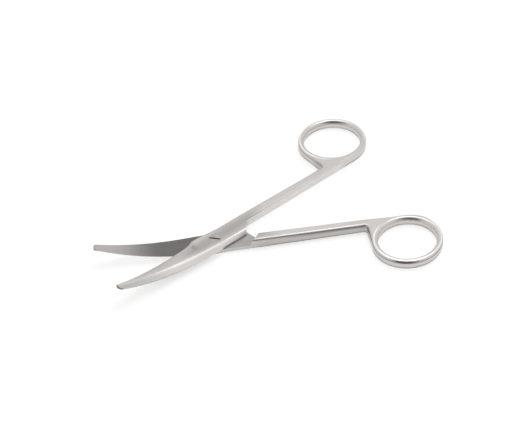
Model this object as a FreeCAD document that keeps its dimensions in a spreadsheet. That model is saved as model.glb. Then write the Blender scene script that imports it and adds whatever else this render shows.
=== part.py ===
"""Curved dissecting scissors, 145 mm long when closed, lying open on their underside.

Two forged halves cross in a lap joint and turn about one slotted screw.  The frame stands on the
screw's axis: +X towards the finger rings, +Y towards the upper half's ring, +Z up, with Z = 0 at
the surface that the scissors lie on.  Lengths are in millimetres and angles in degrees.

Each half is made closed, in its own plan: the letter u runs from the screw towards the ring, and
v from the closing line outwards on the shank's side, so the blade has its cutting edge at +v and
its back at -v.  The two plans are mirror images, and each half is then turned by half the opening.
"""
import FreeCAD, Part
import math
import os
import Sketcher

from FreeCAD import Placement, Rotation, Vector

UPPER, LOWER = 1, -1
UP = Vector(0, 0, 1)
TOUCH = 0.01              # places closer than this are the same place
REACH = 100.0             # length of the tools that cut everything beyond a face
OVERRUN = 10.0            # tools run this far past the part
OVAL_ENDS = 0.73          # how much tighter the oval's end arcs are, against its two half lengths
SIDE_STEP = 0.02          # the plate's outer side lies this far inside the shank's
SIDE_DIVE = 0.11          # and leans in by this share within the shank
PAST_LAP = 0.8            # the blade is drawn this far past its mating face
LOFT_START = 20.0         # the plate is drawn from here, and its slanted end is cut on it
PLATE_STATIONS = (9, 5, 2, -1, -4, -7)
BEVEL_SHARES = (0.07, 0.15, 0.35)   # bevel's share of the width: far in the plate, joint, tip
GROUND_SHARE = 0.6        # the ground facet's share of the width where it has run in
GROUND_BULGE = 0.35       # bulge of the ground facet, against an arc tangent to the flat top

SIZES = [
    ("opening_angle", 29.8, "angle between the two halves as they lie"),
    ("joint_height", 5.1, "both plates together, and the shanks at the joint"),
    ("lap_clearance", 0.1, "gap between the two mating faces"),
    ("pivot_to_tip", 50.7, "screw axis to blade tip"),
    ("tip_round", 1.8, "plan radius of the blunt tip"),
    ("flat_radius", 13.0, "mating faces are flat this far from the screw"),
    ("dish_radius", 102.0, "bend of the mating faces beyond the flat"),
    ("edge_root", 5.55, "closing line to cutting edge at the joint"),
    ("edge_middle", 3.85, "the same at the middle of the blade"),
    ("edge_tip", 1.6, "the same at the tip"),
    ("back_root", 5.2, "closing line to blade back at the joint"),
    ("back_middle", 3.75, "the same at the middle of the blade"),
    ("back_tip", 1.5, "the same at the tip"),
    ("tip_thickness", 1.5, "blade at the ridge near the tip"),
    ("edge_thickness", 0.3, "narrow land left above the cutting edge"),
    ("back_share", 0.36, "upright part of the blade's back, as a share of its thickness"),
    ("ridge_round", 0.6, "rounding of the ridge, measured along its two sides"),
    ("ground_start", 8.5, "screw axis to the start of the ground facet"),
    ("ground_run", 3.0, "length over which the ground facet runs in"),
    ("plate_slant", 38.0, "slant of plate ends and shoulders"),
    ("plate_end", 14.9, "screw axis to the middle of the plate end"),
    ("plate_end_side", 2.8, "that point of the plate end, from the closing line"),
    ("shoulder_gap", 0.4, "plate end to the other half's shoulder, closed"),
    ("shoulder_slope", 22.0, "shoulder wall leans back from upright"),
    ("shank_outer_joint", 4.4, "closing line to the shank's outer side at the joint"),
    ("shank_outer_ring", 3.95, "the same where the ring starts"),
    ("shank_inner_joint", 0.1, "closing line to the shank's inner side at the joint"),
    ("shank_inner_rim", 0.4, "rounding of the shank's inner top edge"),
    ("rim_flat", 0.1, "flat left on the ring's band between its two rounded top edges"),
    ("under_bevel", 0.7, "bevel along the edges of the underside"),
    ("ring_distance", 79.45, "screw axis to ring centre, along the closing line"),
    ("ring_offset", 14.5, "closing line to ring centre"),
    ("ring_length", 25.7, "long way across the finger hole"),
    ("ring_breadth", 23.1, "short way across the finger hole"),
    ("ring_tilt", -18.6, "turn of the ring's long way from the closing line"),
    ("ring_band", 2.4, "width of the ring's band in plan"),
    ("ring_height", 4.7, "height of the ring's band"),
    ("web_lean", 0.9, "lean of the web's wall, from square to the closing line"),
    ("crotch_radius", 1.5, "inside corner between shank and web"),
    ("shank_start", 13.0, "the shanks are drawn from this far along, under the shoulders"),
    ("fall_start", 17.0, "screw axis to where the top starts to fall towards the ring"),
    ("fall_end", 61.5, "screw axis to where the top is down to the ring's height"),
    ("head_diameter", 4.8, "screw head at its top"),
    ("head_depth", 1.0, "depth of the head's cone"),
    ("neck_diameter", 3.2, "plain neck of the screw, in the upper half"),
    ("neck_clearance", 0.03, "running fit of the neck, on the radius"),
    ("thread_diameter", 2.6, "threaded end, in the lower half"),
    ("thread_clearance", 0.02, "fit of the threaded end, on the radius"),
    ("slot_width", 0.65, "driver slot in the head"),
    ("slot_depth", 0.7, "depth of the driver slot"),
    ("slot_angle", -20.8, "slot direction when closed, from the closing line"),
]


def fill_sheet(document):
    """Keep every driving size in a sheet, one aliased cell each, with what it means beside it."""
    sheet = document.addObject("Spreadsheet::Sheet", "Sizes")
    for row, (alias, value, meaning) in enumerate(SIZES, start=1):
        sheet.set(f"A{row}", str(value))
        sheet.setAlias(f"A{row}", alias)
        sheet.set(f"B{row}", meaning)
    document.recompute()
    return sheet


def size(name):
    """Read one driving size from the sheet."""
    return float(SHEET.get(name))


def bind(item, **expressions):
    """Tie properties of a document object to cells of the sheet."""
    for name, expression in expressions.items():
        item.setExpression(name.replace("__", "."), expression)
    return item


def add(kind, name, **properties):
    """Add an object of the given kind to the document and set its plain properties."""
    item = DOC.addObject(kind, name)
    for key, value in properties.items():
        setattr(item, key, value)
    return item


def add_shape(name, shape):
    """Add a shape that is worked out here from the sheet's sizes."""
    item = DOC.addObject("Part::Feature", name)
    item.Shape = shape
    return item


def ease(value, start, end):
    """Smooth step that is 0 at start and 1 at end."""
    t = min(max((value - start) / (end - start), 0.0), 1.0)
    return t * t * (3 - 2 * t)


def mix(first, second, share):
    """Blend two values."""
    return first + (second - first) * share


def through_three(u, root, middle, tip):
    """Parabola along the blade: root value a tenth out, middle value half way, and tip value."""
    length = size("pivot_to_tip")
    a, b, c = 0.1 * length, 0.55 * length, length
    d = -u
    return (root * (d - b) * (d - c) / ((a - b) * (a - c))
            + middle * (d - a) * (d - c) / ((b - a) * (b - c))
            + tip * (d - a) * (d - b) / ((c - a) * (c - b)))


def dish_rise(radius):
    """Height of the mating faces above their flat middle, at a distance from the screw."""
    bend = size("dish_radius")
    beyond = max(radius - size("flat_radius"), 0.0)
    return bend - math.sqrt(bend * bend - beyond * beyond)


def dish_slope(radius):
    """Slope of the mating faces, as an angle in radians."""
    return math.asin(max(radius - size("flat_radius"), 0.0) / size("dish_radius"))


def plate_thickness():
    """Thickness of one half's plate at the joint."""
    return (size("joint_height") - size("lap_clearance")) / 2


def lap_height(side):
    """Height of a half's mating face at the screw."""
    return size("joint_height") / 2 + side * size("lap_clearance") / 2


def rim_radius():
    """Rounding of the top edges of shank and ring, apart from the shank's inner edge."""
    return (size("ring_band") - size("rim_flat")) / 2


def blade_section(u, side):
    """Closed outline across plate or blade at station u: back, bevel, ridge, facet, cutting edge.

    Heights are measured from the mating face, upwards in the upper half and down in the lower.
    The outline reaches past the mating face, which the lap tool then cuts to its dish.  From the
    start of the ground facet the flat top gives way to it: its upper limit, the crest, runs
    from the outer rounding across to the ridge.
    """
    length, rim = size("pivot_to_tip"), rim_radius()
    ground_start, ground_end = -size("ground_start"), -size("ground_start") - size("ground_run")
    tapered = max(ground_start - u, 0) / (length + ground_start)
    thick = mix(plate_thickness(), size("tip_thickness"), tapered ** 1.5)
    leaving = ease(u, 0.12 * length, -0.2 * length)
    ground = ease(u, ground_start, ground_end)

    inside_shank = SIDE_STEP + SIDE_DIVE * max(u - size("shank_start"), 0)
    edge = mix(size("shank_outer_joint") - inside_shank,
               through_three(u, size("edge_root"), size("edge_middle"), size("edge_tip")), leaving)
    back = -mix(size("back_root"),
                through_three(u, size("back_root"), size("back_middle"), size("back_tip")),
                ease(u, 0.04 * length, -0.12 * length))
    width = edge - back
    in_plate, at_joint, at_tip = BEVEL_SHARES
    bevel_share = (mix(at_joint, at_tip, min(-u / (0.63 * length), 1)) if u < 0
                   else mix(at_joint, in_plate, u / LOFT_START))
    ridge = back + bevel_share * width
    full_crest = mix(edge - GROUND_SHARE * width, ridge + size("ridge_round"),
                     ease(u, ground_end, -0.5 * length))
    crest = mix(edge - rim, full_crest, ground)
    land = mix(thick - rim, size("edge_thickness"), ground)

    def point(v, height):
        radius = math.hypot(u, v) if u < 0 else 0
        return Vector(u, side * v, lap_height(side) + dish_rise(radius)
                      + side * height / math.cos(dish_slope(radius)))

    wall = size("back_share") * thick
    slope = Vector(back - ridge, wall - thick, 0)
    down = Vector(ridge, thick, 0) + slope * (size("ridge_round") / slope.Length)
    across = Vector(ridge + 0.75 * size("ridge_round"), thick, 0)
    soft = (down + across) * 0.25 + Vector(ridge, thick, 0) * 0.5
    chord = Vector(edge - crest, land - thick, 0)
    tangent_bulge = math.tan(math.atan2(-chord.y, chord.x) / 2) / 2
    bulge = tangent_bulge * mix(1, GROUND_BULGE, ground)
    middle = (crest + chord.x / 2 - chord.y * bulge, thick + chord.y / 2 + chord.x * bulge)
    outer = [point(edge, land), point(edge, -PAST_LAP), point(back, -PAST_LAP),
             point(back, wall), point(down.x, down.y)]
    top = [point(across.x, thick), point(crest, thick)]
    edges = [Part.LineSegment(a, b).toShape() for a, b in zip(outer, outer[1:])]
    edges.append(Part.Arc(outer[-1], point(soft.x, soft.y), top[0]).toShape())
    edges.append(Part.LineSegment(*top).toShape())
    edges.append(Part.Arc(top[-1], point(*middle), outer[0]).toShape())
    return Part.Wire(edges)


def make_blade(side, name):
    """Plate and blade in one ruled loft, with the slanted plate end and the blunt tip cut on it."""
    length = size("pivot_to_tip")
    start, end = size("ground_start"), size("ground_start") + size("ground_run")
    stations = [LOFT_START, size("shank_start"), *PLATE_STATIONS]
    stations += [mix(-start, -end, k / 4) for k in range(4)]
    stations += [mix(-end, -1.04 * length, k / 14) for k in range(15)]
    loft = Part.makeLoft([blade_section(u, side) for u in stations], True, True)
    blade = add_shape(name + "_blade_loft", loft)

    across, high = 3 * OVERRUN, 2 * OVERRUN
    plate_end = add("Part::Box", name + "_plate_end", Length=high, Width=across, Height=high)
    corner = Vector(size("plate_end"), -side * size("plate_end_side"), 0)
    turn = Rotation(UP, -side * size("plate_slant"))
    plate_end.Placement = Placement(corner + turn.multVec(Vector(0, -across / 2, -high / 2)), turn)

    radius = size("tip_round")
    centre = Vector(radius - length, side * (size("edge_tip") - size("back_tip")) / 2, 0)
    tall, wide = 3 * OVERRUN, 3 * radius
    block = add("Part::Box", name + "_tip_block", Length=wide, Width=2 * wide, Height=tall)
    block.Placement = Placement(centre - Vector(wide, wide, tall / 2), Rotation())
    nose = add("Part::Cylinder", name + "_tip_nose", Radius=radius, Height=tall)
    nose.Placement = Placement(centre - Vector(0, 0, tall / 2), Rotation())
    tip = add("Part::Cut", name + "_tip_tool", Base=block, Tool=nose)
    trims = add("Part::MultiFuse", name + "_trims", Shapes=[plate_end, tip])
    return add("Part::Cut", name + "_blade", Base=blade, Tool=trims)


def ring_arcs(band):
    """Oval round the finger hole, a band's width outside it, as four arcs that run anticlockwise.

    Each arc is its centre, radius, first and last angle: near side, far end, outer side, near end.
    """
    long, short = size("ring_length") / 2, size("ring_breadth") / 2
    tight = short - OVAL_ENDS * (long - short)
    shift = long - tight
    wide = (short ** 2 + shift ** 2 - tight ** 2) / (2 * (short - tight))
    drop = wide - short
    tilt = math.radians(size("ring_tilt"))
    turn = math.atan2(drop, shift)
    middle = complex(size("ring_distance"), size("ring_offset"))
    arcs = []
    for centre, radius, first, last in (
            (complex(0, drop), wide, math.pi + turn, math.tau - turn),
            (complex(shift, 0), tight, math.tau - turn, math.tau + turn),
            (complex(0, -drop), wide, math.tau + turn, math.tau + math.pi - turn),
            (complex(-shift, 0), tight, math.tau + math.pi - turn, math.tau + math.pi + turn)):
        place = middle + centre * complex(math.cos(tilt), math.sin(tilt))
        arcs.append((place, radius + band, first + tilt, last + tilt))
    return arcs


def touch_angle(arc, place):
    """Angle at which a line from a place below the oval touches an arc of it."""
    centre, radius, first, last = arc
    offset = place - centre
    angle = math.atan2(offset.imag, offset.real) + math.acos(radius / abs(offset))
    return first + (angle - first) % math.tau


def on_arc(arc, angle):
    """Point of an arc at an angle, as a complex number u + iv."""
    return arc[0] + arc[1] * complex(math.cos(angle), math.sin(angle))


def crotch_corner():
    """Where the web's wall, a tangent of the ring's near end, meets the shank's outer side."""
    near_end = ring_arcs(size("ring_band"))[3]
    angle = math.pi + math.radians(size("web_lean"))
    touch = on_arc(near_end, angle)
    down = touch.imag - size("shank_outer_ring")
    return complex(touch.real + down * math.tan(angle), size("shank_outer_ring"))


def handle_face(side):
    """Plan of shank and ring: an outline with straight shank sides and an oval, and the finger hole.

    The inner side is the tangent from the joint to the ring's oval.  The outer side runs to the
    crotch, and from there the web's wall leads up to the ring.
    """
    def plan(place):
        return Vector(place.real, side * place.imag, 0)

    def arc_edge(arc):
        first, last = arc[2:]
        marks = (first, (first + last) / 2, last)
        return Part.Arc(*(plan(on_arc(arc, angle)) for angle in marks)).toShape()

    joint_inner = complex(size("shank_start"), size("shank_inner_joint"))
    joint_outer = complex(size("shank_start"), size("shank_outer_joint"))
    near_side, far_end, outer_side, near_end = ring_arcs(size("ring_band"))
    near_side = (*near_side[:2], touch_angle(near_side, joint_inner), near_side[3])
    near_end = (*near_end[:3], math.tau + math.pi + math.radians(size("web_lean")))
    corners = [on_arc(near_end, near_end[3]), crotch_corner(), joint_outer, joint_inner,
               on_arc(near_side, near_side[2])]
    arcs = [arc_edge(arc) for arc in (near_side, far_end, outer_side, near_end)]
    sides = [Part.LineSegment(plan(a), plan(b)).toShape() for a, b in zip(corners, corners[1:])]
    rim = Part.Wire(arcs + sides)
    hole = Part.Wire([arc_edge(arc) for arc in ring_arcs(0)])
    return Part.Face([rim, hole], "Part::FaceMakerBullseye")


def upright_edges(shape, place):
    """Numbers of the upright edges of a shape that stand at a place in plan."""
    return [number for number, edge in enumerate(shape.Edges, start=1)
            if len(edge.Vertexes) == 2
            and all(math.hypot(v.X - place.x, v.Y - place.y) < TOUCH for v in edge.Vertexes)]


def level_edges(shape, under):
    """Numbers and edges of the underside's or the top's outline, without the cut at the joint."""
    found = []
    for number, edge in enumerate(shape.Edges, start=1):
        box = edge.BoundBox
        low = box.ZMax < TOUCH
        high = box.ZMin > size("ring_height") - TOUCH
        on_joint = box.XMax < size("shank_start") + TOUCH
        across = box.XLength < TOUCH and box.XMax < size("fall_end") + TOUCH
        if (low if under else high) and not on_joint and not across:
            found.append((number, edge))
    return found


def top_fillets(shape, side):
    """Rounding of the handle's top edges: (edge number, radius at start, radius at end).

    The shank's inner edge stays crisp, and the rounding grows along the first stretch of the ring.
    """
    rim, crisp = rim_radius(), size("shank_inner_rim")
    joint = complex(size("shank_start"), size("shank_inner_joint"))
    near_side = ring_arcs(size("ring_band"))[0]
    stretch = [on_arc(near_side, touch_angle(near_side, joint)), on_arc(near_side, near_side[3])]
    fillets = []
    for number, edge in level_edges(shape, False):
        ends = [edge.valueAt(t) for t in (edge.FirstParameter, edge.LastParameter)]
        first, last = (complex(end.x, side * end.y) for end in ends)
        if max(first.imag, last.imag) < stretch[0].imag + TOUCH:
            fillets.append((number, crisp, crisp))
        elif abs(first - stretch[0]) + abs(last - stretch[1]) < TOUCH:
            fillets.append((number, crisp, rim))
        elif abs(last - stretch[0]) + abs(first - stretch[1]) < TOUCH:
            fillets.append((number, rim, crisp))
        else:
            fillets.append((number, rim, rim))
    return fillets


def make_handle(side, name):
    """Shank and ring at full height, with the top falling to the ring and its edges broken."""
    plan = add_shape(name + "_handle_plan", handle_face(side))
    blank = add("Part::Extrusion", name + "_handle_blank", Base=plan, Dir=UP, Solid=True)
    bind(blank, LengthFwd="Sizes.joint_height")
    start, end = size("fall_start"), size("fall_end")
    high, low = size("joint_height"), size("ring_height")
    above = high + OVERRUN
    profile = [(start, high), (end, low), (end + REACH, low), (end + REACH, above), (start, above)]
    points = [Vector(u, -REACH / 2, z) for u, z in profile]
    wedge_face = Part.Face(Part.makePolygon(points + points[:1]))
    wedge = add_shape(name + "_handle_fall", wedge_face.extrude(Vector(0, REACH, 0)))
    fallen = add("Part::Cut", name + "_handle_fallen", Base=blank, Tool=wedge)
    DOC.recompute()
    corner, radius = crotch_corner(), size("crotch_radius")
    crotch_round = add("Part::Fillet", name + "_handle_crotch", Base=fallen)
    crotch_round.Edges = [(number, radius, radius) for number in
                          upright_edges(fallen.Shape, Vector(corner.real, side * corner.imag, 0))]
    DOC.recompute()
    rounded = add("Part::Fillet", name + "_handle_rounded", Base=crotch_round)
    rounded.Edges = top_fillets(crotch_round.Shape, side)
    DOC.recompute()
    bevelled = add("Part::Chamfer", name + "_handle", Base=rounded)
    bevel = size("under_bevel")
    bevelled.Edges = [(number, bevel, bevel) for number, edge in level_edges(rounded.Shape, True)]
    return bevelled


def make_lap_tool(side, name):
    """What the lap joint takes from a half: all beyond its dished mating face, up to its shoulder.

    The dish is a surface of revolution about the screw, flat at the joint and bent to an arc
    along the blades, so the mating faces keep their clearance at every angle of the scissors.
    """
    flat, bend = size("flat_radius"), size("dish_radius")
    outer = size("pivot_to_tip") + OVERRUN
    far = 4 * OVERRUN if side == LOWER else -OVERRUN
    face = lap_height(side)
    profile = add("Sketcher::SketchObject", name + "_lap_profile")
    profile.Placement = Placement(Vector(), Rotation(Vector(1, 0, 0), 90))
    corners = [(0, face), (flat, face), (outer, face + dish_rise(outer)), (outer, far), (0, far)]
    points = [Vector(x, z, 0) for x, z in corners]
    arc_centre = Vector(flat, face + bend, 0)
    low, high = -math.pi / 2, -math.pi / 2 + dish_slope(outer)
    profile.addGeometry([
        Part.LineSegment(points[0], points[1]),
        Part.ArcOfCircle(Part.Circle(arc_centre, UP, bend), low, high),
        Part.LineSegment(points[2], points[3]),
        Part.LineSegment(points[3], points[4]),
        Part.LineSegment(points[4], points[0]),
    ], False)
    flat_line, dish_arc, outer_line, far_line, axis_line = range(5)
    origin, y_axis, start, end = -1, -2, 1, 2
    profile.addConstraint([
        Sketcher.Constraint("Tangent", flat_line, end, dish_arc, start),
        Sketcher.Constraint("Coincident", dish_arc, end, outer_line, start),
        Sketcher.Constraint("Coincident", outer_line, end, far_line, start),
        Sketcher.Constraint("Coincident", far_line, end, axis_line, start),
        Sketcher.Constraint("Coincident", axis_line, end, flat_line, start),
        Sketcher.Constraint("Horizontal", flat_line),
        Sketcher.Constraint("Vertical", outer_line),
        Sketcher.Constraint("Horizontal", far_line),
        Sketcher.Constraint("PointOnObject", axis_line, start, y_axis),
        Sketcher.Constraint("PointOnObject", axis_line, end, y_axis),
    ])
    for label, constraint, expression in (
            ("flat", ("DistanceX", flat_line, start, flat_line, end, flat), "Sizes.flat_radius"),
            ("bend", ("Radius", dish_arc, bend), "Sizes.dish_radius"),
            ("outer", ("DistanceX", origin, 1, outer_line, end, outer), f"Sizes.pivot_to_tip + {OVERRUN}"),
            ("face", ("DistanceY", origin, 1, flat_line, start, face),
             f"(Sizes.joint_height + {side} * Sizes.lap_clearance) / 2"),
            ("far", ("DistanceY", origin, 1, far_line, start, far), None)):
        index = profile.addConstraint(Sketcher.Constraint(*constraint))
        profile.renameConstraint(index, label)
        if expression:
            profile.setExpression("Constraints." + label, expression)
    dish = add("Part::Revolution", name + "_dish", Source=profile, Axis=UP, Angle=360, Solid=True)

    slant = math.radians(size("plate_slant"))
    normal = Vector(math.cos(slant), side * math.sin(slant), 0)
    start_point = Vector(size("plate_end"), side * size("plate_end_side"), face)
    start_point += normal * size("shoulder_gap")
    lean = Rotation(Vector(0, 1, 0), -side * size("shoulder_slope"))
    turn = Rotation(UP, side * size("plate_slant")) * lean
    shoulder = add("Part::Box", name + "_shoulder", Length=REACH, Width=2 * REACH, Height=REACH)
    shoulder.Placement = Placement(start_point + turn.multVec(Vector(0, -REACH, -REACH / 2)), turn)
    return add("Part::Cut", name + "_lap_tool", Base=dish, Tool=shoulder)


def round_piece(name, radius, bottom, height):
    """Cylinder on the screw's axis, its sizes given as expressions."""
    piece = add("Part::Cylinder", name)
    return bind(piece, Radius=radius, Height=height, Placement__Base__z=bottom)


def make_screw_hole(name):
    """Plain bore with its countersink, as one turned tool that runs past both faces of the plate."""
    gap = size("neck_clearance")
    neck, head = size("neck_diameter") / 2 + gap, size("head_diameter") / 2 + gap
    depth, low = size("head_depth"), lap_height(UPPER) - size("neck_diameter") / 2
    top = size("joint_height") + depth / 2
    wide = head + (head - neck) / 2
    profile = [(0, low), (neck, low), (neck, top - 1.5 * depth), (wide, top), (0, top)]
    points = [Vector(r, 0, z) for r, z in profile]
    half_plan = add_shape(name + "_hole_profile", Part.Face(Part.makePolygon(points + points[:1])))
    return add("Part::Revolution", name + "_hole", Source=half_plan, Axis=UP, Angle=360, Solid=True)


def make_half(side, name):
    """One half: blade and handle in one piece, less its lap and the hole for the screw.

    The hole is plain with a countersink in the upper half, and threaded in the lower.
    """
    blank = add("Part::MultiFuse", name + "_blank",
                Shapes=[make_blade(side, name), make_handle(side, name)])
    lapped = add("Part::Cut", name + "_lapped", Base=blank, Tool=make_lap_tool(side, name))
    if side == LOWER:
        bore = round_piece(name + "_bore", "Sizes.thread_diameter / 2 + Sizes.thread_clearance",
                           "-1", "Sizes.joint_height")
        return add("Part::Cut", name + "_half", Base=lapped, Tool=bore)
    hole = make_screw_hole(name)
    return add("Part::Cut", name + "_half", Base=lapped, Tool=hole)


def make_screw():
    """Slotted screw: cone head flush with the upper half, plain neck, threaded end."""
    lap = "(Sizes.joint_height - Sizes.lap_clearance) / 2"
    end = round_piece("screw_thread", "Sizes.thread_diameter / 2", "0", lap)
    neck = round_piece("screw_neck", "Sizes.neck_diameter / 2", lap,
                       f"Sizes.joint_height - Sizes.head_depth - {lap}")
    head = bind(add("Part::Cone", "screw_head"), Radius1="Sizes.neck_diameter / 2",
                Radius2="Sizes.head_diameter / 2", Height="Sizes.head_depth",
                Placement__Base__z="Sizes.joint_height - Sizes.head_depth")
    body = add("Part::MultiFuse", "screw_body", Shapes=[end, neck, head])
    slot = add("Part::Box", "screw_slot")
    slot_turn = Rotation(UP, size("slot_angle"))
    slot_corner = Vector(-size("head_diameter"), -size("slot_width") / 2,
                         size("joint_height") - size("slot_depth"))
    slot.Placement = Placement(slot_turn.multVec(slot_corner), slot_turn)
    bind(slot, Length="2 * Sizes.head_diameter", Width="Sizes.slot_width", Height="Sizes.slot_depth + 1")
    return add("Part::Cut", "pivot_screw", Base=body, Tool=slot)


DOC = FreeCAD.newDocument("dissecting_scissors")
SHEET = fill_sheet(DOC)
parts = {
    "upper_half": (make_half(UPPER, "upper"), UPPER),
    "lower_half": (make_half(LOWER, "lower"), LOWER),
    "pivot_screw": (make_screw(), LOWER),
}
for label, (item, side) in parts.items():
    item.Label = label
    item.Placement = Placement(Vector(), Rotation(UP, side))
    bind(item, Placement__Rotation__Angle=f"{side} * Sizes.opening_angle / 2")
DOC.recompute()

for item in DOC.Objects:
    if {"Invalid", "Error"} & set(item.State):
        raise RuntimeError(f"{item.Name} failed: {item.State}")
os.makedirs("parts", exist_ok=True)
for label, (item, side) in parts.items():
    shape = item.Shape
    if shape.isNull() or not shape.isValid() or len(shape.Solids) != 1:
        raise RuntimeError(f"{label} is not one valid solid")
    shape.exportStep(f"parts/{label}.step")
    print(label, "volume", round(shape.Volume, 1), "box", shape.BoundBox)
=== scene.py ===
"""Looks of the curved dissecting scissors: satin steel, white studio floor and the photograph's view.

The frame brings the two halves and their screw in metres, with the screw's axis at the origin and
the floor at Z = 0.  Patterns are worked out from Object coordinates, turned into each half's own
plan: the letter u runs from the screw towards the ring, and v outwards from the closing line.
"""
import math

import bpy
import numpy as np
from mathutils import Matrix, Vector

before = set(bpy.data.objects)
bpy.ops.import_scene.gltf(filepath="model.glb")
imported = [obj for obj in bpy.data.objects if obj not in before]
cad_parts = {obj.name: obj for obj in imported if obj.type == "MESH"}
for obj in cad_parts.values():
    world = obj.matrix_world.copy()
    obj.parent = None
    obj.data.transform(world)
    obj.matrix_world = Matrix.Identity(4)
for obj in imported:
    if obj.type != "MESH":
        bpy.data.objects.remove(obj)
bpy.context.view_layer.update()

MM = 0.001
IMAGE_WIDTH, IMAGE_HEIGHT = 530, 443
HALF_OPENING = math.radians(14.9)
LAP_MIDDLE = 2.55            # height between the two mating faces at the screw, mm
FLAT_RADIUS = 13.0           # the mating faces are flat this far out, mm
DISH_RADIUS = 102.0          # then they bend to this radius, mm
SHOULDER_END = 22.0          # no mating face lies beyond this, mm
LAP_HALF_GAP = 0.05          # each mating face lies this far from the middle height, mm
RING_CENTRE = (79.45, 14.5)  # finger hole's middle in the half's plan, mm
RING_RADIUS = 13.5           # mean radius of the ring's band, mm
RING_HALVES = (14.05, 12.75)  # half the length and breadth of the band's oval middle line, mm
RING_TILT = math.radians(-18.6)         # turn of that line's long way from the closing line
TIP_CENTRE = (-48.9, 0.05)   # middle of the blunt tip's round in the half's plan, mm
TIP_RADIUS = 1.8             # radius of that round, mm
RIDGE_PLATE, RIDGE_TIP = -3.6, -0.6     # the ridge's v in the plate and near the tip, mm
RIDGE_SLOPE = 0.085          # the ridge nears the closing line by this per mm towards the tip


# Camera

def place_camera():
    """Camera at the photograph's viewing angle: above and in front, with a long lens.

    Azimuth turns it about Z from straight in front, elevation lifts it, and its axis passes through
    a point on the floor that the photograph shows right of and above the picture's middle.
    """
    azimuth, elevation = math.radians(-25.865), math.radians(43.731)
    distance = 785.75 * MM
    target = Vector((32.483, 15.914, 0.0)) * MM
    focal_pixels = 1823.0
    axis_pixel = (268.0, 200.0)
    back = Vector((math.sin(azimuth) * math.cos(elevation),
                   -math.cos(azimuth) * math.cos(elevation), math.sin(elevation)))
    right = Vector((math.cos(azimuth), math.sin(azimuth), 0.0))
    up = back.cross(right)
    lens = bpy.data.cameras.new("camera")
    lens.sensor_fit = "HORIZONTAL"
    lens.sensor_width = 36.0
    lens.lens = focal_pixels / IMAGE_WIDTH * lens.sensor_width
    lens.shift_x = (IMAGE_WIDTH / 2 - axis_pixel[0]) / IMAGE_WIDTH
    lens.shift_y = (axis_pixel[1] - IMAGE_HEIGHT / 2) / IMAGE_WIDTH
    lens.clip_start, lens.clip_end = 0.05, 20.0
    camera = bpy.data.objects.new("camera", lens)
    camera.matrix_world = Matrix.Translation(target + back * distance) @ Matrix(
        (right, up, back)).transposed().to_4x4()
    bpy.context.collection.objects.link(camera)
    bpy.context.scene.camera = camera


# Node helpers and shared groups

class Nodes:
    """Short ways to add and join nodes in one tree."""

    def __init__(self, tree):
        self.tree = tree

    def add(self, kind, **settings):
        """Add a node; settings are its own properties."""
        node = self.tree.nodes.new(kind)
        for name, value in settings.items():
            setattr(node, name, value)
        return node

    def feed(self, socket, value):
        """Give a socket a plain value or join another node's output to it."""
        if isinstance(value, bpy.types.NodeSocket):
            self.tree.links.new(value, socket)
        else:
            socket.default_value = value

    def math(self, operation, first, second=0.0, clamp=False):
        """One step of arithmetic."""
        node = self.add("ShaderNodeMath", operation=operation, use_clamp=clamp)
        for socket, value in zip(node.inputs, (first, second)):
            self.feed(socket, value)
        return node.outputs[0]

    def remap(self, value, low, high, out_low=0.0, out_high=1.0):
        """Carry a range smoothly onto another, clamped at its ends; low may be the larger end."""
        node = self.add("ShaderNodeMapRange", interpolation_type="SMOOTHSTEP")
        for name, item in (("Value", value), ("From Min", low), ("From Max", high),
                           ("To Min", out_low), ("To Max", out_high)):
            self.feed(node.inputs[name], item)
        return node.outputs["Result"]

    def blend(self, share, first, second):
        """Mix two colours."""
        node = self.add("ShaderNodeMix", data_type="RGBA")
        for socket, value in ((node.inputs["Factor"], share), (node.inputs[6], first),
                              (node.inputs[7], second)):
            self.feed(socket, value)
        return node.outputs[2]

    def times(self, first, *others):
        """Product of two or more values."""
        for other in others:
            first = self.math("MULTIPLY", first, other)
        return first

    def share(self, share, first, second):
        """Carry one value over into another by a share from 0 to 1."""
        return self.math("ADD", first, self.times(share, self.math("SUBTRACT", second, first)))

    def distance(self, first, second):
        """Length of a vector in the plan, from its two parts."""
        return self.math("SQRT", self.math("ADD", self.times(first, first), self.times(second, second)))

    def vector(self, x, y, z):
        """Vector from three values."""
        node = self.add("ShaderNodeCombineXYZ")
        for socket, value in zip(node.inputs, (x, y, z)):
            self.feed(socket, value)
        return node.outputs[0]

    def place(self, kind, **inputs):
        """Place a node group by name and give its inputs."""
        node = self.add("ShaderNodeGroup")
        node.node_tree = bpy.data.node_groups[kind]
        for name, value in inputs.items():
            self.feed(node.inputs[name], value)
        return node.outputs


def new_group(name, inputs, outputs):
    """Empty shader node group with named float or vector sockets."""
    tree = bpy.data.node_groups.new(name, "ShaderNodeTree")
    for direction, sockets in (("INPUT", inputs), ("OUTPUT", outputs)):
        for label, kind in sockets:
            tree.interface.new_socket(label, in_out=direction, socket_type="NodeSocket" + kind)
    nodes = Nodes(tree)
    return nodes, nodes.add("NodeGroupInput").outputs, nodes.add("NodeGroupOutput").inputs


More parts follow.
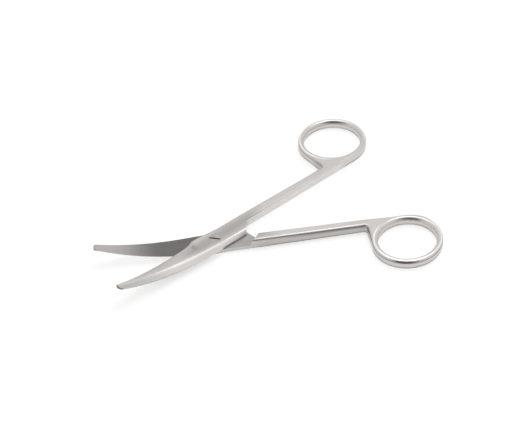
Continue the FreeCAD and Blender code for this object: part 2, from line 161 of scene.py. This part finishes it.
def make_plan_group():
    """Object coordinates in one half's own plan, in millimetres.

    u = x cos a + s y sin a and v = s y cos a - x sin a, where a is half the opening and s is the
    half's side; the radius is the distance from the screw's axis.
    """
    nodes, given, out = new_group("half plan", [("Side", "Float")],
                                  [("U", "Float"), ("V", "Float"), ("Z", "Float"), ("Radius", "Float"),
                                   ("Place", "Vector")])
    parts = nodes.add("ShaderNodeSeparateXYZ")
    nodes.feed(parts.inputs[0], nodes.add("ShaderNodeTexCoord").outputs["Object"])
    x, y, z = (nodes.times(axis, 1 / MM) for axis in parts.outputs)
    y = nodes.times(y, given["Side"])
    cosine, sine = math.cos(HALF_OPENING), math.sin(HALF_OPENING)
    u = nodes.math("ADD", nodes.times(x, cosine), nodes.times(y, sine))
    v = nodes.math("SUBTRACT", nodes.times(y, cosine), nodes.times(x, sine))
    for name, value in (("U", u), ("V", v), ("Z", z), ("Radius", nodes.distance(x, y)),
                        ("Place", nodes.vector(u, v, z))):
        nodes.feed(out[name], value)


def make_mating_group():
    """Mask of a half's mating face: where the height is the dish's own, short of the shoulder.

    The dish stands at its lap height and rises by R - sqrt(R^2 - (r - flat)^2) beyond the flat.
    """
    nodes, given, out = new_group("mating face", [("U", "Float"), ("Z", "Float"), ("Radius", "Float"),
                                                  ("Side", "Float")],
                                  [("Mask", "Float")])
    beyond = nodes.math("MAXIMUM", nodes.math("SUBTRACT", given["Radius"], FLAT_RADIUS), 0.0)
    drop = nodes.math("SQRT", nodes.math("SUBTRACT", DISH_RADIUS ** 2, nodes.times(beyond, beyond)))
    face = nodes.math("ADD", nodes.math("SUBTRACT", DISH_RADIUS + LAP_MIDDLE, drop),
                      nodes.times(given["Side"], LAP_HALF_GAP))
    gap = nodes.math("ABSOLUTE", nodes.math("SUBTRACT", given["Z"], face))
    near = nodes.math("LESS_THAN", given["U"], SHOULDER_END)
    nodes.feed(out["Mask"], nodes.times(nodes.remap(gap, 0.09, 0.03), near))


def make_ring_group():
    """Places in the ring's own round coordinates, a mask of the ring, and two painted lines on its rim.

    The place is (arc length, distance from the ring's centre, z), where the arc length is the
    angle about that centre times the band's mean radius.  The upper line is a painted highlight on
    the rounding outside the band's oval middle line, and Shade a painted dark reflection line below
    it.  Both end at the shank, where the ring isn't free.
    """
    nodes, given, out = new_group("ring plan", [("U", "Float"), ("V", "Float"), ("Z", "Float")],
                                  [("Place", "Vector"), ("Mask", "Float"), ("Crest Highlight", "Float"),
                                   ("Shade", "Float")])
    z = given["Z"]
    du = nodes.math("SUBTRACT", given["U"], RING_CENTRE[0])
    dv = nodes.math("SUBTRACT", given["V"], RING_CENTRE[1])
    reach = nodes.distance(du, dv)
    arc = nodes.times(nodes.math("ARCTAN2", dv, du), RING_RADIUS)
    nodes.feed(out["Place"], nodes.vector(arc, reach, z))
    nodes.feed(out["Mask"], nodes.remap(reach, 16.6, 14.2))
    cosine, sine = math.cos(RING_TILT), math.sin(RING_TILT)
    long_part, short_part = (
        nodes.math("ADD", nodes.times(du, on_u / half), nodes.times(dv, on_v / half))
        for on_u, on_v, half in ((cosine, sine, RING_HALVES[0]), (-sine, cosine, RING_HALVES[1])))
    outside = nodes.math("SUBTRACT", nodes.distance(long_part, short_part), 1.0)
    off = nodes.times(outside, RING_RADIUS)
    free = nodes.times(nodes.remap(reach, 15.9, 15.3), nodes.remap(given["V"], 3.0, 8.0))
    crest_highlight = nodes.times(nodes.remap(off, 0.1, 0.3), nodes.remap(off, 0.95, 0.65), nodes.remap(z, 3.9, 4.2))
    shade = nodes.times(nodes.remap(off, 0.6, 0.9), nodes.remap(z, 3.1, 3.5), nodes.remap(z, 4.1, 3.75))
    nodes.feed(out["Crest Highlight"], nodes.times(crest_highlight, free))
    nodes.feed(out["Shade"], nodes.times(shade, free))


def make_crown_group():
    """Hand-finished walls are a little round: a height for a bump, in millimetres.

    It falls by Lean b (1 - cos(pi t)) / pi over the upper part of a wall and over the lower, where
    b is that part's height and t runs over it from Middle.  So the wall tilts up above Middle and
    down below it, by Lean at most.  The height is nil at Top and above, and towards the joint.
    """
    nodes, given, out = new_group("crowned walls", [("U", "Float"), ("Z", "Float"), ("Middle", "Float"),
                                                    ("Top", "Float"), ("Lean", "Float")],
                                  [("Height", "Float")])
    above = nodes.math("SUBTRACT", given["Top"], given["Middle"])
    off = nodes.math("SUBTRACT", given["Z"], given["Middle"])
    drop = None
    for part, distance in ((above, off), (given["Middle"], nodes.times(off, -1.0))):
        run = nodes.math("DIVIDE", distance, part, clamp=True)
        swell = nodes.math("SUBTRACT", 1.0, nodes.math("COSINE", nodes.times(run, math.pi)))
        swell = nodes.times(swell, part, 1 / math.pi)
        drop = swell if drop is None else nodes.math("ADD", drop, swell)
    height = nodes.math("SUBTRACT", nodes.times(above, 2 / math.pi), drop)
    nodes.feed(out["Height"], nodes.times(height, given["Lean"], nodes.remap(given["U"], 16.0, 24.0)))


def make_sheen_across_group():
    """Painted sheen across a level face, as a share: 0 along the closing line, 1 at Half from it and beyond.
    """
    nodes, given, out = new_group("painted sheen across", [("V", "Float"), ("Half", "Float")], [("Mask", "Float")])
    off = nodes.math("DIVIDE", given["V"], given["Half"])
    nodes.feed(out["Mask"], nodes.math("MINIMUM", nodes.times(off, off), 1.0))


def make_wheel_group():
    """Mask of painted shade in the soft notch that the grinding wheel leaves across the blade, where its
    facet starts.

    It lies along the line u = Start, as wide as Width, and fades out at both its ends.
    """
    nodes, given, out = new_group("wheel mark", [("U", "Float"), ("V", "Float"), ("Start", "Float"),
                                                 ("Width", "Float")],
                                  [("Mask", "Float")])
    off = nodes.math("ABSOLUTE", nodes.math("SUBTRACT", given["U"], given["Start"]))
    across = nodes.remap(nodes.math("DIVIDE", off, given["Width"]), 1.0, 0.0)
    along = nodes.times(nodes.remap(given["V"], -1.2, 0.2), nodes.remap(given["V"], 3.4, 2.0))
    nodes.feed(out["Mask"], nodes.times(across, along))


def make_tip_group():
    """Mask of the blunt tip's end face: where the plan's distance from the round's middle is full."""
    nodes, given, out = new_group("tip end", [("U", "Float"), ("V", "Float")], [("Mask", "Float")])
    du = nodes.math("SUBTRACT", given["U"], TIP_CENTRE[0])
    dv = nodes.math("SUBTRACT", given["V"], TIP_CENTRE[1])
    full = nodes.remap(nodes.distance(du, dv), TIP_RADIUS - 0.12, TIP_RADIUS - 0.03)
    nodes.feed(out["Mask"], nodes.times(full, nodes.math("LESS_THAN", given["U"], TIP_CENTRE[0])))


def make_bevel_group():
    """Masks of the bevelled back, beyond the ridge, and of the ridge itself."""
    nodes, given, out = new_group("blade bevel", [("U", "Float"), ("V", "Float")],
                                  [("Mask", "Float"), ("Ridge", "Float")])
    line = nodes.math("SUBTRACT", RIDGE_PLATE, nodes.times(given["U"], RIDGE_SLOPE))
    line = nodes.math("MINIMUM", nodes.math("MAXIMUM", line, RIDGE_PLATE), RIDGE_TIP)
    beyond = nodes.math("SUBTRACT", given["V"], line)
    nodes.feed(out["Mask"], nodes.remap(beyond, 0.1, -0.5))
    nodes.feed(out["Ridge"], nodes.remap(nodes.math("ABSOLUTE", beyond), 1.1, 0.4))


def make_brushing_group():
    """Fine parallel scratches: noise drawn out along the first axis, a coarse and a fine set."""
    nodes, given, out = new_group("brushing", [("Place", "Vector"), ("Length", "Float"), ("Width", "Float")],
                                  [("Lines", "Float")])
    parts = nodes.add("ShaderNodeSeparateXYZ")
    nodes.feed(parts.inputs[0], given["Place"])
    x, y, z = parts.outputs
    total = None
    for scale, weight in ((1.0, 0.6), (3.1, 0.4)):
        along = nodes.math("DIVIDE", x, nodes.math("DIVIDE", given["Length"], scale))
        across = nodes.math("DIVIDE", y, nodes.math("DIVIDE", given["Width"], scale))
        high = nodes.math("DIVIDE", z, nodes.math("DIVIDE", given["Width"], scale))
        noise = nodes.add("ShaderNodeTexNoise", noise_dimensions="3D")
        nodes.feed(noise.inputs["Vector"], nodes.vector(along, across, high))
        nodes.feed(noise.inputs["Scale"], 1.0)
        nodes.feed(noise.inputs["Detail"], 2.0)
        part = nodes.times(noise.outputs["Fac"], weight)
        total = part if total is None else nodes.math("ADD", total, part)
    nodes.feed(out["Lines"], total)


def make_cloud_group():
    """Soft uneven patches left by finishing and handling: plain noise, spread to 0 to 1."""
    nodes, given, out = new_group("finish patches", [("Place", "Vector"), ("Size", "Float")],
                                  [("Patches", "Float")])
    scaled = nodes.add("ShaderNodeVectorMath", operation="SCALE")
    nodes.feed(scaled.inputs[0], given["Place"])
    nodes.feed(scaled.inputs["Scale"], nodes.math("DIVIDE", 1.0, given["Size"]))
    noise = nodes.add("ShaderNodeTexNoise", noise_dimensions="3D")
    nodes.feed(noise.inputs["Vector"], scaled.outputs[0])
    nodes.feed(noise.inputs["Scale"], 1.0)
    nodes.feed(noise.inputs["Detail"], 3.0)
    nodes.feed(out["Patches"], nodes.remap(noise.outputs["Fac"], 0.3, 0.7))


# Materials

STEEL_LIGHT = (0.590, 0.565, 0.546, 1.0)
STEEL_DULL = (0.530, 0.507, 0.490, 1.0)
PLATE_PAINTED_SHADE = (0.385, 0.368, 0.356, 1.0)      # painted shade along the plate's middle; the next colour is its painted sheen towards the sides
PLATE_PAINTED_SHEEN = (0.540, 0.516, 0.499, 1.0)
INNER_WALL_LIT = (0.680, 0.655, 0.636, 1.0)       # the shank's walls, as painted light: the inner wall lighter, the outer wall darker
OUTER_WALL_SHADED = (0.500, 0.477, 0.460, 1.0)
# painted shade for the outer wall's dark bands
WALL_BAND_SHADE = (0.300, 0.285, 0.275, 1.0)
RING_STEEL = (0.610, 0.585, 0.566, 1.0)
# painted dark reflection line on the ring's rim
RING_PAINTED_SHADE = (0.350, 0.333, 0.322, 1.0)
CREST_PAINTED_HIGHLIGHT = (0.880, 0.848, 0.825, 1.0)     # painted highlight on the crests: the blade's ridge and the ring's rim
BEVEL_SHEEN_ROOT = (0.670, 0.644, 0.626, 1.0)       # painted sheen on the blade's bevelled back, lighter at its root than towards the tip
BEVEL_SHEEN_TIP = (0.530, 0.508, 0.492, 1.0)
WHEEL_MARK_SHADE = (0.250, 0.236, 0.226, 1.0)
TIP_DARK = (0.200, 0.190, 0.184, 1.0)
GROUND_AND_SHADE_ROOT = (0.158, 0.150, 0.150, 1.0)      # the mating face at the blade's root: its ground finish with painted shade and painted dark reflection
GROUND_AND_SHADE_TIP = (0.470, 0.448, 0.430, 1.0)
BEARING_STEEL = (0.370, 0.353, 0.342, 1.0)
SLOT_PAINTED_SHADE = (0.090, 0.080, 0.060, 1.0)

WALL_MIDDLE, WALL_TOP = 2.1, 4.7              # heights of the shank's and ring's walls, mm
WALL_LEAN, RING_LEAN = 0.16, 0.40             # how far those walls tilt, as a slope
SCRATCH_DEPTH = 0.02 * MM


def new_material(name):
    """Material with one Principled shader, and its nodes."""
    material = bpy.data.materials.new(name)
    material.use_nodes = True
    material.node_tree.nodes.clear()
    nodes = Nodes(material.node_tree)
    shader = nodes.add("ShaderNodeBsdfPrincipled")
    nodes.feed(nodes.add("ShaderNodeOutputMaterial").inputs["Surface"], shader.outputs[0])
    return material, nodes, shader


def shank_tones(nodes, satin, u, v, z, ring):
    """The plate with painted shade and sheen, and the shank's two walls with painted light: the inner one
    lighter, the outer one darker, with painted shade bands.
    """
    # Painted light on the plate: painted shade along its middle, painted sheen towards its sides.
    across = nodes.place("painted sheen across", V=v, Half=3.6)["Mask"]
    plate = nodes.blend(across, PLATE_PAINTED_SHADE, PLATE_PAINTED_SHEEN)
    satin = nodes.blend(nodes.remap(u, 30.0, 17.0), satin, plate)
    satin = nodes.blend(nodes.remap(u, -8.0, -20.0), satin, STEEL_LIGHT)
    shank = nodes.times(nodes.remap(u, 14.0, 20.0), nodes.math("SUBTRACT", 1.0, ring))
    wall = nodes.times(nodes.remap(z, WALL_TOP, 3.9), shank)
    inner = nodes.times(nodes.remap(v, 1.2, 0.6), wall)
    outer = nodes.times(nodes.remap(v, 3.2, 3.9), wall)
    # Painted light on the walls: the inner wall lighter, the outer wall darker.
    satin = nodes.blend(outer, nodes.blend(inner, satin, INNER_WALL_LIT), OUTER_WALL_SHADED)
    # Painted shade on the outer wall: a dark band under the rim and a dark line at its foot.
    under_rim = nodes.times(nodes.remap(z, 3.0, 3.7), nodes.remap(u, 22.0, 44.0))
    shade_bands = nodes.math("MAXIMUM", under_rim, nodes.remap(z, 1.5, 1.0))
    return nodes.blend(nodes.times(shade_bands, 0.85, outer), satin, WALL_BAND_SHADE)


def ring_tones(nodes, satin, round_ring):
    """The polished ring, with a painted highlight along the top of its rim and a painted dark reflection line
    below it.
    """
    satin = nodes.blend(round_ring["Mask"], satin, RING_STEEL)
    # Painted highlight and painted dark reflection line on the ring's rim.
    satin = nodes.blend(round_ring["Crest Highlight"], satin, CREST_PAINTED_HIGHLIGHT)
    return nodes.blend(round_ring["Shade"], satin, RING_PAINTED_SHADE)


def blade_tones(nodes, satin, u, v, bevel):
    """The blade's back with painted sheen, a painted highlight along its ridge, painted shade in the wheel's
    mark, and the dark end of the tip.
    """
    back = nodes.times(bevel["Mask"], nodes.remap(u, 15.0, 13.0))
    # Painted sheen on the blade's bevelled back.
    bevelled = nodes.blend(nodes.remap(u, -12.0, -32.0), BEVEL_SHEEN_ROOT, BEVEL_SHEEN_TIP)
    satin = nodes.blend(back, satin, bevelled)
    # Painted highlight along the blade's ridge.
    crest_highlight = nodes.times(bevel["Ridge"], back, nodes.remap(u, -34.0, -12.0))
    satin = nodes.blend(crest_highlight, satin, CREST_PAINTED_HIGHLIGHT)
    # Painted shade in the wheel's notch.
    mark = nodes.place("wheel mark", U=u, V=v, Start=-9.7, Width=1.3)["Mask"]
    satin = nodes.blend(nodes.times(mark, 0.6), satin, WHEEL_MARK_SHADE)
    return nodes.blend(nodes.place("tip end", U=u, V=v)["Mask"], satin, TIP_DARK)


def satin_steel(name, side):
    """Satin forged steel of one half, with its darker, lengthwise ground mating face.

    The ground face is darkest at the blade's root and lightens to the tip and to the bearing flat; that
    darkness is partly its duller ground finish, partly painted shade and painted dark reflection.
    """
    material, nodes, shader = new_material(name)
    plan = nodes.place("half plan", Side=side)
    u, v, z = plan["U"], plan["V"], plan["Z"]
    round_ring = nodes.place("ring plan", U=u, V=v, Z=z)
    ring = round_ring["Mask"]
    mating = nodes.place("mating face", U=u, Z=z, Radius=plan["Radius"], Side=side)["Mask"]
    bevel = nodes.place("blade bevel", U=u, V=v)
    lines = nodes.place("brushing", Place=plan["Place"], Length=9.0, Width=0.22)["Lines"]
    ring_lines = nodes.place("brushing", Place=round_ring["Place"], Length=6.0, Width=0.22)["Lines"]
    lines = nodes.share(ring, lines, ring_lines)
    streaks = nodes.math("SUBTRACT", lines, 0.5)
    patches = nodes.place("finish patches", Place=plan["Place"], Size=7.0)["Patches"]

    satin = nodes.blend(nodes.times(patches, 0.7), STEEL_LIGHT, STEEL_DULL)
    satin = shank_tones(nodes, satin, u, v, z, ring)
    satin = ring_tones(nodes, satin, round_ring)
    satin = blade_tones(nodes, satin, u, v, bevel)
    # The mating face: its ground finish darkened with painted shade and painted dark reflection, most at the
    # blade's root.
    blade = nodes.blend(nodes.remap(plan["Radius"], 22.0, 46.0), GROUND_AND_SHADE_ROOT, GROUND_AND_SHADE_TIP)
    ground = nodes.blend(nodes.remap(u, -8.0, 1.0), blade, BEARING_STEEL)
    steel = nodes.blend(mating, satin, ground)
    depth = nodes.remap(mating, 0.0, 1.0, 0.35, 0.9)
    tinted = nodes.add("ShaderNodeVectorMath", operation="SCALE")
    nodes.feed(tinted.inputs[0], steel)
    nodes.feed(tinted.inputs["Scale"], nodes.math("ADD", 1.0, nodes.times(streaks, depth)))
    shader.inputs["Metallic"].default_value = 1.0
    nodes.feed(shader.inputs["Base Color"], tinted.outputs[0])

    rough = nodes.math("ADD", nodes.remap(ring, 0.0, 1.0, 0.31, 0.24), nodes.times(patches, 0.06))
    soft = nodes.times(bevel["Ridge"], nodes.remap(u, -30.0, -4.0, 0.07, 0.16), nodes.remap(u, 16.0, 14.0))
    rough = nodes.math("ADD", rough, nodes.math("ADD", soft, nodes.times(streaks, 0.2)))
    nodes.feed(shader.inputs["Roughness"], rough)

    scratches = nodes.add("ShaderNodeBump")
    scratches.inputs["Strength"].default_value = 0.3
    scratches.inputs["Distance"].default_value = SCRATCH_DEPTH
    nodes.feed(scratches.inputs["Height"], lines)
    lean = nodes.remap(ring, 0.0, 1.0, WALL_LEAN, RING_LEAN)
    crown = nodes.place("crowned walls", U=u, Z=z, Middle=WALL_MIDDLE, Top=WALL_TOP, Lean=lean)["Height"]
    walls = nodes.add("ShaderNodeBump")
    walls.inputs["Distance"].default_value = MM
    nodes.feed(walls.inputs["Height"], crown)
    nodes.feed(walls.inputs["Normal"], scratches.outputs["Normal"])
    nodes.feed(shader.inputs["Normal"], walls.outputs["Normal"])
    return material


def screw_steel(name):
    """Turned screw: satin steel; its driver slot is rougher and darkened with painted shade."""
    material, nodes, shader = new_material(name)
    plan = nodes.place("half plan", Side=1.0)
    patches = nodes.place("finish patches", Place=plan["Place"], Size=2.0)["Patches"]
    deep = nodes.remap(plan["Z"], 5.0, 4.7)
    # The screw takes the plate's painted shade and sheen tones, mixed by the patches, so that it matches the
    # plate.
    satin = nodes.blend(nodes.times(patches, 0.5), PLATE_PAINTED_SHADE, PLATE_PAINTED_SHEEN)
    shader.inputs["Metallic"].default_value = 1.0
    # Painted shade in the driver slot.
    nodes.feed(shader.inputs["Base Color"], nodes.blend(deep, satin, SLOT_PAINTED_SHADE))
    nodes.feed(shader.inputs["Roughness"], nodes.math("ADD", 0.30, nodes.times(deep, 0.3)))
    return material


def dress(node, material):
    """Give a CAD node its finish."""
    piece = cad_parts[node]
    for slot in piece.material_slots:
        slot.material = material


# Studio

TENT_OPENING = (-0.350, -0.722, 0.597)        # unit vector to the middle of the tent's opening
OPENING_OUTER, OPENING_INNER = math.radians(42), math.radians(14)     # its soft edge
TENT_LEVEL, OPENING_LEVEL, DIFFUSE_LEVEL = 0.95, 0.12, 0.45
FLOOR_HALF, FLOOR_DROP = 2.0, 0.02 * MM       # the floor lies just below the part
FLOOR_WHITE, FLOOR_GLOW = 0.80, 0.58
BOX_PLACE, BOX_AIM = (0.24, 0.14, 0.74), (0.03, 0.0, 0.0)
BOX_SIZE, BOX_POWER = (0.55, 0.36), 1.0       # metres and watts


def camera_or_mirror(nodes):
    """1 for what the camera sees, directly or in metal or glass."""
    path = nodes.add("ShaderNodeLightPath").outputs
    seen = nodes.math("MAXIMUM", path["Is Camera Ray"], path["Is Glossy Ray"])
    return nodes.math("MAXIMUM", seen, path["Is Transmission Ray"])


def make_floor():
    """White floor that keeps the object's shadow."""
    corners = [(x * FLOOR_HALF, y * FLOOR_HALF, -FLOOR_DROP) for x, y in ((-1, -1), (1, -1), (1, 1), (-1, 1))]
    mesh = bpy.data.meshes.new("floor")
    mesh.from_pydata(corners, [], [(0, 1, 2, 3)])
    floor = bpy.data.objects.new("floor", mesh)
    bpy.context.collection.objects.link(floor)
    material = bpy.data.materials.new("white floor")
    material.use_nodes = True
    material.node_tree.nodes.clear()
    nodes = Nodes(material.node_tree)
    paper = nodes.add("ShaderNodeBsdfDiffuse")
    paper.inputs["Color"].default_value = (FLOOR_WHITE, FLOOR_WHITE, FLOOR_WHITE, 1.0)
    glow = nodes.add("ShaderNodeEmission")
    nodes.feed(glow.inputs["Strength"], nodes.times(camera_or_mirror(nodes), FLOOR_GLOW))
    both = nodes.add("ShaderNodeAddShader")
    nodes.feed(both.inputs[0], paper.outputs[0])
    nodes.feed(both.inputs[1], glow.outputs[0])
    nodes.feed(nodes.add("ShaderNodeOutputMaterial").inputs["Surface"], both.outputs[0])
    mesh.materials.append(material)


def make_world():
    """White light tent, with the darker opening that the picture is taken through.

    Direction is the backdrop's own; the opening is a soft cone about one fixed direction, and only
    metal shows it.  What the camera sees directly is white, and diffuse light is even and weaker.
    """
    world = bpy.data.worlds.new("studio")
    bpy.context.scene.world = world
    world.use_nodes = True
    world.node_tree.nodes.clear()
    nodes = Nodes(world.node_tree)
    direction = nodes.add("ShaderNodeTexCoord").outputs["Generated"]
    towards = nodes.add("ShaderNodeVectorMath", operation="DOT_PRODUCT")
    nodes.feed(towards.inputs[0], direction)
    towards.inputs[1].default_value = TENT_OPENING
    opening = nodes.remap(towards.outputs["Value"], math.cos(OPENING_OUTER), math.cos(OPENING_INNER))
    tent = nodes.remap(opening, 0.0, 1.0, TENT_LEVEL, OPENING_LEVEL)
    path = nodes.add("ShaderNodeLightPath").outputs
    mirrored = nodes.math("MAXIMUM", path["Is Glossy Ray"], path["Is Transmission Ray"])
    strength = nodes.remap(mirrored, 0.0, 1.0, DIFFUSE_LEVEL, tent)
    strength = nodes.remap(path["Is Camera Ray"], 0.0, 1.0, strength, 1.0)
    light = nodes.add("ShaderNodeBackground")
    light.inputs["Color"].default_value = (1.0, 1.0, 1.0, 1.0)
    nodes.feed(light.inputs["Strength"], strength)
    nodes.feed(nodes.add("ShaderNodeOutputWorld").inputs["Surface"], light.outputs[0])


def add_softbox():
    """Rectangular soft lamp above and behind the part, facing it."""
    lamp = bpy.data.lights.new("overhead softbox", "AREA")
    lamp.shape = "RECTANGLE"
    lamp.size, lamp.size_y = BOX_SIZE
    lamp.energy = BOX_POWER
    box = bpy.data.objects.new("overhead softbox", lamp)
    box.location = BOX_PLACE
    box.rotation_euler = (Vector(BOX_AIM) - Vector(BOX_PLACE)).to_track_quat("-Z", "Y").to_euler()
    bpy.context.collection.objects.link(box)


place_camera()
for make_group in (make_plan_group, make_mating_group, make_ring_group, make_crown_group,
                   make_sheen_across_group, make_wheel_group, make_tip_group, make_bevel_group,
                   make_brushing_group, make_cloud_group):
    make_group()
dress("upper_half", satin_steel("satin steel upper", 1.0))
dress("lower_half", satin_steel("satin steel lower", -1.0))
dress("pivot_screw", screw_steel("screw steel"))
make_floor()
make_world()
add_softbox()

bpy.context.scene.view_settings.view_transform = "Standard"
